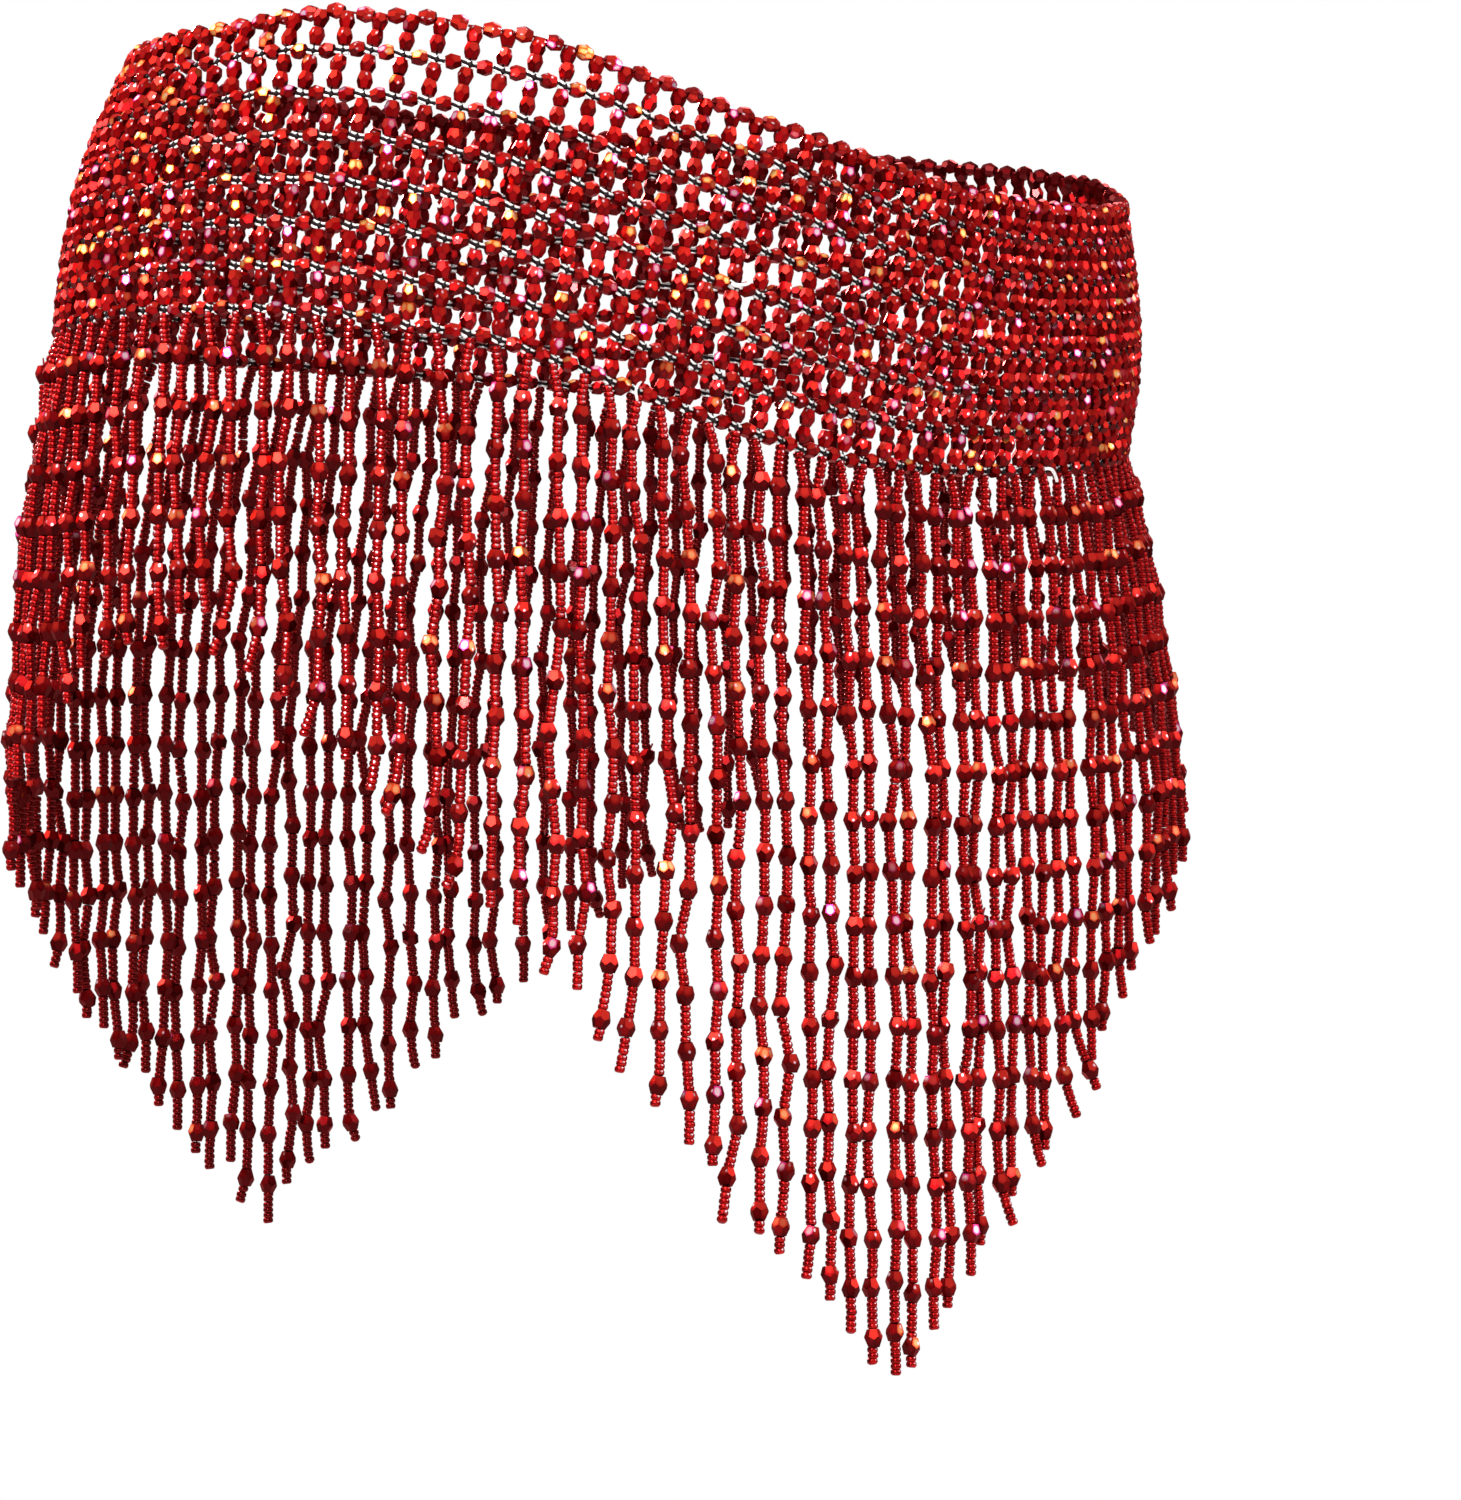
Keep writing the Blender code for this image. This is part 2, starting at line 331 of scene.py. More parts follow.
class Shape:
    """One closed shape as arrays, ready to be copied into a joined mesh."""

    # Painted light level that corners start from, the one given to the ends of the hole, and how nearly an
    # end's normal lies along Z.
    level_painted_lighting = 0.5
    end_painted_lighting = 0.4
    end_limit = 0.98

    def __init__(self, builder: bmesh.types.BMesh, smooth: bool, light: PaintedLight = PaintedLight()) -> None:
        """Reads a shape and frees it.

        Args:
            builder: The shape, in millimetres around its own middle, with its length along Z.
            smooth: Whether its faces are shaded as one round surface.
            light: How much painted light its corners get in their colour.
        """
        bmesh.ops.recalc_face_normals(builder, faces=builder.faces)
        builder.verts.index_update()
        builder.normal_update()
        self.smooth = smooth
        self.light = light
        self.points = np.array([vert.co for vert in builder.verts])
        self.reach = float(np.abs(self.points).max())
        self.sizes = np.array([len(face.verts) for face in builder.faces])
        loops = [loop for face in builder.faces for loop in face.loops]
        self.corners = np.array([loop.vert.index for loop in loops])
        self.normals = np.array([loop.vert.normal if smooth else loop.face.normal for loop in loops])
        self.ends = np.abs(self.normals[:, 2]) > self.end_limit
        turn = FULL_TURN * np.concatenate([np.arange(size) / size for size in self.sizes])
        self.places = np.stack((np.cos(turn), np.sin(turn)), axis=1)
        builder.free()

    def copied(self, name: str, copies: Copies, material: Material, chance: Generator) -> Object:
        """One object with a copy of the shape at each place.

        Each facet carries its glint, each copy its tone, and each corner its painted light from how far it
        faces out and up and how high it lies, and where it lies on its facet.

        Args:
            name: Name of the piece.
            copies: Where the copies go.
            material: Finish of the piece.
            chance: Source of the glints and tones.

        Returns:
            The new object.
        """
        count = len(copies.middles)
        points = np.einsum("nij,vj->nvi", copies.frames, self.points) + copies.middles[:, None, :]
        normals = unit(np.einsum("nij,vj->nvi", copies.frames, self.normals))
        out = np.sum(normals * copies.outward[:, None, :], axis=2)
        high = (points[:, self.corners, 2] - copies.middles[:, None, 2]) / self.reach
        # Painted light and shade: corners that face out and up, and lie high, get a lighter painted colour;
        # the ends of the hole get a fixed, darker one.
        facing = self.level_painted_lighting + self.light.out * out
        facing += self.light.up * normals[:, :, 2] + self.light.high * high
        facing[:, self.ends] = self.end_painted_lighting
        each = np.arange(count)[:, None]
        corners = self.corners + len(self.points) * each
        starts = np.cumsum(self.sizes) - self.sizes + len(self.corners) * each
        mesh = bpy.data.meshes.new(name)
        mesh.vertices.add(points.size // 3)
        mesh.vertices.foreach_set("co", (points * MM).astype(np.float32).ravel())
        mesh.loops.add(corners.size)
        mesh.loops.foreach_set("vertex_index", corners.astype(np.int32).ravel())
        mesh.polygons.add(starts.size)
        mesh.polygons.foreach_set("loop_start", starts.astype(np.int32).ravel())
        mesh.update(calc_edges=True)
        mesh.polygons.foreach_set("use_smooth", np.full(starts.size, self.smooth))
        # glint is random per facet: it shifts the painted light and roughness a little and picks the facets
        # that get painted highlights.
        glint = chance.random(starts.size)
        tone = np.repeat(chance.random(count), len(self.sizes))
        for label, domain, values in (
            ("facing", "CORNER", facing), ("glint", "FACE", glint), ("tone", "FACE", tone),
        ):
            attribute = mesh.attributes.new(label, "FLOAT", domain)
            attribute.data.foreach_set("value", values.astype(np.float32).ravel())
        facet = mesh.uv_layers.new(name="facet")
        facet.uv.foreach_set("vector", np.tile(self.places, (count, 1)).astype(np.float32).ravel())
        mesh.materials.append(material)
        return placed(name, mesh)


@dataclass(frozen=True)
class FacetedBead:
    """A glass bead cut with two rows of shield-shaped facets that point at each other."""

    length: float
    width: float
    sides: int = 6
    mouth: float = 0.66
    # Painted light: facets that face out and up get a lighter painted colour, those that face down a darker
    # one.
    light: PaintedLight = PaintedLight(0.24, 0.60)
    flat_angle: float = math.radians(2)

    @property
    def tip(self) -> float:
        """Share of the length by which a shield's point passes the middle when the shield is flat."""
        inset = math.cos(math.pi / self.sides)
        return 0.5 / (1 + (1 - self.mouth) * 2 * inset / (1 - inset))

    def shape(self) -> Shape:
        """The bead, with its hole along Z, as the hull of four rings.

        Returns:
            The shape.
        """
        bead = bmesh.new()
        rings = ((0.5, self.mouth, 0.0), (self.tip, 1.0, 0.0), (-self.tip, 1.0, 0.5), (-0.5, self.mouth, 0.5))
        for height, share, turn in rings:
            place = Matrix.Translation((0.0, 0.0, height * self.length))
            place @= Matrix.Rotation(turn * FULL_TURN / self.sides, 4, "Z")
            radius = self.width / 2 * share
            bmesh.ops.create_circle(bead, segments=self.sides, radius=radius, matrix=place)
        bmesh.ops.convex_hull(bead, input=bead.verts)
        bmesh.ops.dissolve_limit(bead, angle_limit=self.flat_angle, verts=bead.verts, edges=bead.edges)
        return Shape(bead, smooth=False, light=self.light)


@dataclass(frozen=True)
class SeedBead:
    """A small round bead. Its mouth and the height of its shoulder are shares of its half sizes."""

    length: float = 1.70
    width: float = 2.9
    mouth: float = 0.74
    shoulder: float = 0.46
    weld: float = 0.001
    sides: int = 8
    # Painted light: the sides of a seed bead that face out get a lighter painted colour and a painted
    # highlight spot.
    light: PaintedLight = PaintedLight(0.45, 0.16)

    def shape(self) -> Shape:
        """The bead, with its hole along Z.

        Returns:
            The shape.
        """
        radius = self.width / 2
        half = self.length / 2
        bead = bmesh.new()
        profile = ((0.0, half), (self.mouth * radius, half), (radius, self.shoulder * half))
        profile += tuple((across, -height) for across, height in reversed(profile))
        verts = [bead.verts.new((across, 0.0, height)) for across, height in profile]
        edges = [bead.edges.new(pair) for pair in zip(verts, verts[1:])]
        bmesh.ops.spin(
            bead, geom=verts + edges, cent=(0.0, 0.0, 0.0), axis=(0.0, 0.0, 1.0), angle=FULL_TURN,
            steps=self.sides, use_merge=True, use_duplicate=False,
        )
        bmesh.ops.remove_doubles(bead, verts=bead.verts, dist=self.weld)
        return Shape(bead, smooth=True, light=self.light)


@dataclass(frozen=True)
class Knot:
    """A small dark knot, longest along Z."""

    length: float = 2.5
    width: float = 1.7
    sides: int = 6

    def shape(self) -> Shape:
        """The knot as a lump pointed at both ends.

        Returns:
            The shape.
        """
        knot = bmesh.new()
        bmesh.ops.create_uvsphere(knot, u_segments=self.sides, v_segments=2, radius=self.width / 2)
        bmesh.ops.scale(knot, verts=knot.verts, vec=(1.0, 1.0, self.length / self.width))
        return Shape(knot, smooth=True)


@dataclass(frozen=True)
class ThreadStroke:
    """A short stretch of thread along Z that bows out along X between two beads."""

    length: float
    width: float
    bow: float
    sides: int = 5
    steps: int = 4

    def shape(self) -> Shape:
        """The stretch of thread, closed at both ends.

        Returns:
            The shape.
        """
        stroke = bmesh.new()
        low = Matrix.Translation((0.0, 0.0, -self.length / 2))
        bmesh.ops.create_circle(stroke, cap_ends=True, segments=self.sides, radius=self.width / 2, matrix=low)
        [end] = stroke.faces
        for step in range(self.steps):
            start = 2 * step / self.steps - 1
            stop = 2 * (step + 1) / self.steps - 1
            rise = self.bow * (start**2 - stop**2)
            end = bmesh.ops.extrude_discrete_faces(stroke, faces=[end])["faces"][0]
            bmesh.ops.translate(stroke, verts=end.verts, vec=(rise, 0.0, self.length / self.steps))
        return Shape(stroke, smooth=True)


class Ramp(NamedTuple):
    """Values between which a smooth step goes from 0 to 1."""

    low: float
    high: float


class Wiring:
    """Adds and joins the nodes of one shader tree."""

    def __init__(self, tree: NodeTree) -> None:
        """Keeps the tree."""
        self.tree = tree

    def feed(self, node: Node, inputs: dict[str | int, object]) -> None:
        """Joins or sets some of a node's inputs.

        Args:
            node: The node.
            inputs: A socket to join or a value to set, for each input's name or number.
        """
        for key, value in inputs.items():
            if isinstance(value, NodeSocket):
                self.tree.links.new(value, node.inputs[key])
            else:
                node.inputs[key].default_value = value

    def add(self, kind: str, inputs: dict[str | int, object] | None = None, **settings: object) -> Node:
        """Adds a node.

        Args:
            kind: Its type.
            inputs: What its inputs are fed with.
            settings: Its own settings.

        Returns:
            The new node.
        """
        node = self.tree.nodes.new(kind)
        for name, value in settings.items():
            setattr(node, name, value)
        self.feed(node, inputs or {})
        return node

    def math(self, operation: str, *values: object) -> NodeSocket:
        """Result of a sum of some values."""
        return self.add("ShaderNodeMath", dict(enumerate(values)), operation=operation).outputs[0]

    def step(self, value: object, ramp: Ramp) -> NodeSocket:
        """Smooth step of a value over a ramp."""
        inputs = {"Value": value, "From Min": ramp.low, "From Max": ramp.high}
        return self.add("ShaderNodeMapRange", inputs, interpolation_type="SMOOTHSTEP").outputs["Result"]

    def mix(self, factor: object, first: object, second: object) -> NodeSocket:
        """Colour between two colours."""
        inputs = {"Factor": factor, "A": first, "B": second}
        return self.add("ShaderNodeMix", inputs, data_type="RGBA").outputs["Result"]

    def gap(self, place: object, spot: Place) -> NodeSocket:
        """Distance of a place from a fixed spot."""
        inputs = {0: place, 1: spot}
        return self.add("ShaderNodeVectorMath", inputs, operation="DISTANCE").outputs["Value"]


def new_material(name: str) -> tuple[Material, Wiring, Node]:
    """Adds a material.

    Args:
        name: Its name.

    Returns:
        The material, the wiring of its nodes, and its shader.
    """
    material = bpy.data.materials.new(name)
    material.use_nodes = True
    return material, Wiring(material.node_tree), material.node_tree.nodes["Principled BSDF"]


class PaintedLightGroup(Wiring):
    """Shader node group that paints light, shade and highlights into the colour of silver-lined glass, shared
    by all the beads.

    Painted light grows where a facet faces out and up, and turns painted shade to body colour and then to a
    painted lighter colour.
    Painted orange and yellow glints, magenta and pink-white sparkles and pinpoints show only where it faces
    well out and up; seed beads get painted highlight spots where they face out.
    """

    colours = ("Painted_shade", "Body", "Bright", "Painted_orange_glint", "Flame", "Painted_sparkle", "Painted_flash")
    marks = ("Facing", "Glint", "Tone")
    strengths = ("Painted_glints", "Dot")
    # Shares and ramps of the painted light, painted shade and painted highlights.
    painted_light_shares = {"Tone": 0.14, "Glint": 0.24}
    centre_painted_light = 0.14
    painted_shade_to_body = Ramp(0.60, 0.98)
    body_to_painted_bright = Ramp(0.98, 1.26)
    core = Ramp(0.25, 0.60)
    lit = Ramp(0.70, 0.86)
    orange_glint_facets = Ramp(0.945, 0.985)
    orange_glint_beads = Ramp(0.935, 0.975)
    sparks = Ramp(0.925, 0.955)
    spark_shuffle = 17.31
    pinpoints = Ramp(0.55, 0.65)
    pinpoint_shuffle = 7.7
    pinpoint_spot = (0.5, 0.15, 0.0)
    pinpoint_edge = Ramp(0.12, 0.34)
    dot_tone = 0.05
    dots = Ramp(0.945, 0.99)
    roughness = 0.20
    roughness_spread = 0.16

    def __init__(self) -> None:
        """Builds the group once."""
        super().__init__(bpy.data.node_groups.new("silver_lining_painted_light", "ShaderNodeTree"))
        for way, kind, names in (
            ("INPUT", "Float", self.marks + self.strengths),
            ("INPUT", "Vector", ("Place",)),
            ("INPUT", "Color", self.colours),
            ("OUTPUT", "Color", ("Color",)),
            ("OUTPUT", "Float", ("Roughness",)),
        ):
            for name in names:
                self.tree.interface.new_socket(name, in_out=way, socket_type=f"NodeSocket{kind}")
        self.wire()

    def wire(self) -> None:
        """Joins the group's nodes."""
        given = self.add("NodeGroupInput").outputs
        # Painted light: higher where a facet faces out and up, a little higher with random tone and glint and
        # toward the facet's middle. It turns painted shade into body colour and then into a painted lighter
        # colour.
        centre = self.math("SUBTRACT", 1.0, self.gap(given["Place"], (0.0, 0.0, 0.0)))
        painted_light = self.math("MULTIPLY_ADD", centre, self.centre_painted_light, given["Facing"])
        for name, share in self.painted_light_shares.items():
            painted_light = self.math("MULTIPLY_ADD", given[name], share, painted_light)
        colour = self.mix(self.step(painted_light, self.painted_shade_to_body), given["Painted_shade"], given["Body"])
        colour = self.mix(self.step(painted_light, self.body_to_painted_bright), colour, given["Bright"])

        # Painted highlights: orange and yellow glints on some facets and some whole beads, and magenta and
        # pink-white sparkles, only where a facet faces well out and up.
        core = self.step(centre, self.core)
        painted_glints = self.math("MULTIPLY", self.step(given["Facing"], self.lit), given["Painted_glints"])
        orange_glint_facet = self.step(given["Glint"], self.orange_glint_facets)
        orange_glint_bead = self.step(given["Tone"], self.orange_glint_beads)
        orange_glint = self.math("MULTIPLY", self.math("MAXIMUM", orange_glint_facet, orange_glint_bead), painted_glints)
        colour = self.mix(orange_glint, colour, self.mix(core, given["Painted_orange_glint"], given["Flame"]))
        shuffled = self.math("FRACT", self.math("MULTIPLY", given["Glint"], self.spark_shuffle))
        painted_sparkle = self.math("MULTIPLY", self.step(shuffled, self.sparks), painted_glints)
        colour = self.mix(painted_sparkle, colour, self.mix(core, given["Painted_sparkle"], given["Painted_flash"]))

        # Painted highlights: pink-white pinpoints near one corner of some facets, and spots where seed beads
        # face out.
        again = self.math("FRACT", self.math("MULTIPLY", shuffled, self.pinpoint_shuffle))
        away = self.step(self.gap(given["Place"], self.pinpoint_spot), self.pinpoint_edge)
        pinpoint = self.math("MULTIPLY", self.math("SUBTRACT", 1.0, away), painted_glints)
        pinpoint = self.math("MULTIPLY", pinpoint, self.step(again, self.pinpoints))
        dot = self.math("MULTIPLY_ADD", given["Tone"], self.dot_tone, given["Facing"])
        dot = self.math("MULTIPLY", self.step(dot, self.dots), given["Dot"])
        colour = self.mix(self.math("MAXIMUM", pinpoint, dot), colour, given["Painted_flash"])
        rough = self.math("MULTIPLY_ADD", given["Glint"], self.roughness_spread, self.roughness)
        self.add("NodeGroupOutput", {"Color": colour, "Roughness": rough})


@dataclass(frozen=True)
class BeadGlass:
    """Silver-lined ruby glass: a red mirror under a clear glossy skin, with painted shade, painted light and
    painted highlights in its colours.
    """

    name: str
    # The darkest colour is painted shade and the one after the body colour is painted light; the orange,
    # yellow, magenta and pink-white colours are painted highlights, and the two strengths after the rim scale
    # the painted highlights.
    painted_shade: Colour = (0.070, 0.0010, 0.0018)
    body: Colour = (0.390, 0.0034, 0.0050)
    bright: Colour = (0.54, 0.020, 0.012)
    painted_orange_glint: Colour = (1.0, 0.17, 0.020)
    flame: Colour = (1.0, 0.60, 0.20)
    painted_sparkle: Colour = (0.80, 0.04, 0.28)
    painted_flash: Colour = (0.95, 0.68, 0.76)
    rim: Colour = (1.0, 0.25, 0.25)
    painted_glints: float = 1.0
    dot: float = 0.0
    metallic: float = 0.8
    shine: float = 0.1
    coat: float = 0.08
    coat_roughness: float = 0.05

    def material(self, painted_light_group: PaintedLightGroup) -> Material:
        """The finish as a material.

        Args:
            painted_light_group: The shared node group.

        Returns:
            The new material.
        """
        material, wiring, shader = new_material(self.name)
        inputs = {"Place": wiring.add("ShaderNodeUVMap", uv_map="facet").outputs["UV"]}
        for name in painted_light_group.marks:
            mark = wiring.add("ShaderNodeAttribute", attribute_name=name.lower())
            inputs[name] = mark.outputs["Fac"]
        for name in painted_light_group.strengths:
            inputs[name] = getattr(self, name.lower())
        for name in painted_light_group.colours:
            inputs[name] = (*getattr(self, name.lower()), 1.0)
        group = wiring.add("ShaderNodeGroup", inputs, node_tree=painted_light_group.tree)
        wiring.feed(shader, {
            "Base Color": group.outputs["Color"],
            "Roughness": group.outputs["Roughness"],
            "Metallic": self.metallic,
            "Specular IOR Level": self.shine,
            "Specular Tint": (*self.rim, 1.0),
            "Coat Weight": self.coat,
            "Coat Roughness": self.coat_roughness,
        })
        return material


@dataclass(frozen=True)
class ThreadFinish:
    """Elastic beading thread with a soft shine and a fine twist."""

    name: str
    colour: Colour
    roughness: float = 0.5
    shine: float = 0.15
    twist: float = 1400.0
    shade: float = 0.85
    relief: float = 0.1

    def material(self) -> Material:
        """The finish as a material.

        Returns:
            The new material.
        """
        material, wiring, shader = new_material(self.name)
        place = wiring.add("ShaderNodeTexCoord").outputs["Object"]
        twist = wiring.add("ShaderNodeTexNoise", {"Vector": place, "Scale": self.twist}).outputs["Fac"]
        darker = tuple(self.shade * value for value in self.colour)
        bump = wiring.add("ShaderNodeBump", {"Distance": self.relief * MM, "Height": twist})
        wiring.feed(shader, {
            "Base Color": wiring.mix(twist, (*self.colour, 1.0), (*darker, 1.0)),
            "Normal": bump.outputs["Normal"],
            "Roughness": self.roughness,
            "Specular IOR Level": self.shine,
        })
        return material


class Finishes:
    """Materials of all the pieces."""

    def __init__(self) -> None:
        """Makes the materials, with one node group of painted light for all the glass."""
        painted_light_group = PaintedLightGroup()
        # Each glass's darkest colour is painted shade, its lightest one painted light, and its orange,
        # yellow, magenta and pink-white ones painted highlights.
        self.net_glass = BeadGlass("ruby_net_glass").material(painted_light_group)
        self.edging_glass = BeadGlass("ruby_edging_glass", body=(0.17, 0.0022, 0.005)).material(painted_light_group)
        self.fringe_glass = BeadGlass(
            "ruby_fringe_glass", painted_shade=(0.050, 0.0007, 0.0013), body=(0.17, 0.0018, 0.0030),
            bright=(0.50, 0.019, 0.013), painted_orange_glint=(0.95, 0.11, 0.03), flame=(1.0, 0.40, 0.16),
            painted_glints=0.8, coat=0.04).material(painted_light_group)
        self.seed_glass = BeadGlass(
            "ruby_seed_glass", painted_shade=(0.09, 0.001, 0.0015), body=(0.26, 0.0015, 0.0025),
            bright=(0.56, 0.010, 0.009), painted_glints=0.0, dot=0.65, coat=0.1, coat_roughness=0.25).material(painted_light_group)
        self.white_thread = ThreadFinish(
            "white_thread", (0.96, 0.95, 0.94), roughness=0.3, shine=0.5).material()
        self.dark_thread = ThreadFinish("dark_thread", (0.010, 0.003, 0.005)).material()
        self.red_thread = ThreadFinish("red_thread", (0.20, 0.010, 0.014)).material()


def fitted(piece: Object, slot: Slot, *nodes: str) -> Object:
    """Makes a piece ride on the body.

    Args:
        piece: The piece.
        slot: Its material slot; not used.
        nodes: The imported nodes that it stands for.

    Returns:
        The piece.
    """
    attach(piece, "root")
    if nodes:
        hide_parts(*nodes)
    triangles = sum(len(face.vertices) - 2 for face in piece.data.polygons)
    log.info("%s: %d triangles", piece.name, triangles)
    return piece


class Lie(Enum):
    """How threads lie at a crossing."""

    ALONG = "along the row"
    ACROSS = "across the row"
    UP = "up the column"


@dataclass
class NetBand:
    """The ring of bead net: columns of upright beads, rows of level beads and the picot edge."""

    form: HipForm
    bead: FacetedBead = FacetedBead(length=4.45, width=4.35, mouth=0.72)
    # Painted light of the picot beads, mostly from how far they face out.
    picot_bead: FacetedBead = FacetedBead(length=4.5, width=4.5, sides=8, light=PaintedLight(0.50, 0.05))
    hang: Hang = Hang(tilt=0.07, shift=0.12)
    upright_places: Span = (0.305, 0.695)
    first_cell_places: Span = (0.205, 0.650)
    level_share: float = 0.9
    stair: float = 0.2
    stair_slope: float = 0.04
    crossing_shift: float = 0.22
    flattening: float = 0.5
    stroke: ThreadStroke = ThreadStroke(length=3.9, width=0.76, bow=0.5)
    # Dark core thread along each row line: painted shade where the gap between the two white threads shows
    # dark.
    core: ThreadStroke = ThreadStroke(length=4.9, width=0.9, bow=0.1)
    tie: ThreadStroke = ThreadStroke(length=3.6, width=0.5, bow=0.5)
    edge_thread: ThreadStroke = ThreadStroke(length=4.2, width=0.7, bow=0.1)
    knot: Knot = Knot()
    strokes: tuple[Place, ...] = ((0.1, 0.74, 0.0), (-0.3, -0.74, 0.0))
    knots: tuple[Place, ...] = ((-0.35, 0.28, 0.60),)
    stroke_lean: float = 0.7
    seed: int = 41

    def __post_init__(self) -> None:
        """Places the crossings of columns and rows, each a little out of line."""
        self.chance = default_rng(self.seed)
        columns = self.form.columns
        lines = self.form.cells + 1
        share = np.repeat(np.arange(columns) / columns, lines)
        drop = np.tile([self.form.row_drop(line) for line in range(lines)], columns)
        middle = self.form.point(share, drop)
        out = self.form.outward(share, drop)
        shift = self.chance.normal(0.0, self.crossing_shift, middle.shape)
        shift -= out * np.sum(shift * out, axis=1, keepdims=True) * self.flattening
        self.crossings = (middle + shift).reshape(columns, lines, 3)
        self.outward = out.reshape(columns, lines, 3)

    def upright(self) -> Copies:
        """Places the beads of the columns, two in each cell.

        Returns:
            The copies.
        """
        parts = []
        for cell in range(self.form.cells):
            top = self.crossings[:, cell]
            low = self.crossings[:, cell + 1]
            out = unit(self.outward[:, cell] + self.outward[:, cell + 1])
            for place in self.upright_places if cell else self.first_cell_places:
                parts.append((top + (low - top) * place, top - low, out))
        return self.hang.strung(*joined(parts), self.chance)

    def level(self, lines: range) -> Copies:
        """Places the beads of some row lines, one between each two columns.

        Args:
            lines: The row lines, with the picot edge as line 0.

        Returns:
            The copies.
        """
        parts = []
        for line in lines:
            here = self.crossings[:, line]
            out = self.outward[:, line]
            beyond = np.roll(here, -1, axis=0)
            axis = self.stepped(beyond - here, -self.stair if line else 0.0)
            parts.append(((here + beyond) / 2, axis, unit(out + np.roll(out, -1, axis=0))))
        copies = self.hang.strung(*joined(parts), self.chance)
        if lines.start:
            copies.frames[:, :, 2] *= self.level_share
        return copies

    def stepped(self, along: ndarray, stair: float) -> ndarray:
        """Directions along the rows, made steeper or flatter where the row falls.

        Args:
            along: Directions along a row.
            stair: Slope to add to the row's own, down the row.

        Returns:
            The new directions, of length 1.
        """
        run = np.linalg.norm(along[:, :2], axis=1)
        rise = stair * run * np.tanh(along[:, 2] / run / self.stair_slope)
        return unit(along + rise[:, None] * UPWARD)

    def row(self, line: int) -> tuple[ndarray, ...]:
        """The crossings of a row line.

        Args:
            line: The row line, with the picot edge as line 0.

        Returns:
            The crossings, and the directions along the row, above it and out of the net at each.
        """
        here = self.crossings[:, line]
        out = self.outward[:, line]
        before, beyond = (np.roll(here, shift, axis=0) for shift in (1, -1))
        along = self.stepped(beyond - before, self.stair if line else 0.0)
        return here, along, unit(np.cross(out, along)), out

    def at_crossings(self, shifts: tuple[Place, ...] = ((0.0, 0.0, 0.0),), lie: Lie = Lie.ALONG) -> Copies:
        """Places of threads at each crossing.

        Args:
            shifts: How far along the row, above it and out of the net each one lies.
            lie: How they lie there.

        Returns:
            The copies.
        """
        parts = []
        for line in range(1, self.form.cells + 1):
            here, along, up, out = self.row(line)
            frames = turned(*{
                Lie.ALONG: (along, out + up * self.stroke_lean),
                Lie.ACROSS: (up, out),
                Lie.UP: (self.crossings[:, line - 1] - here, out),
            }[lie])
            for aside, above, lift in shifts:
                parts.append((here + along * aside + up * above + out * lift, frames, out))
        return Copies(*joined(parts))

    def edge_threads(self) -> Copies:
        """Places of thread between the picot beads, over the head of each column."""
        here, along, _, out = self.row(0)
        return Copies(here, turned(along, UPWARD), out)

    def build(self, finishes: Finishes) -> list[Object]:
        """Makes the net's pieces.

        Args:
            finishes: Materials to make them of.

        Returns:
            The net's beads first, and then the pieces on them.
        """
        strung = Copies(*joined([self.upright(), self.level(range(1, self.form.cells + 1))]))
        beads = self.bead.shape().copied("net_beads", strung, finishes.net_glass, self.chance)
        edging = self.level(range(1))
        picots = self.picot_bead.shape().copied("picot_beads", edging, finishes.edging_glass, self.chance)
        pieces = [fitted(beads, Slot.NET, "net_band"), fitted(picots, Slot.EDGING, "top_edging")]
        dark = finishes.dark_thread
        # The row cores are painted shade: dark thread where the gap between the two white threads shows dark.
        for name, part, copies, finish in (
            ("row_threads", self.stroke, self.at_crossings(self.strokes), finishes.white_thread),
            ("row_shade_cores", self.core, self.at_crossings(), dark),
            ("column_threads", self.tie, self.at_crossings(lie=Lie.UP), dark),
            ("knots", self.knot, self.at_crossings(self.knots, Lie.ACROSS), dark),
            ("edge_threads", self.edge_thread, self.edge_threads(), finishes.red_thread),
        ):
            piece = part.shape().copied(name, copies, finish, self.chance)
            pieces.append(fitted(piece, Slot.THREAD))
        return pieces


class LooseEnd(NamedTuple):
    """A loose white thread: its crossing, and its places along the row, up and out from there."""

    column: int
    line: int
    width: float
    places: tuple[Place, ...]


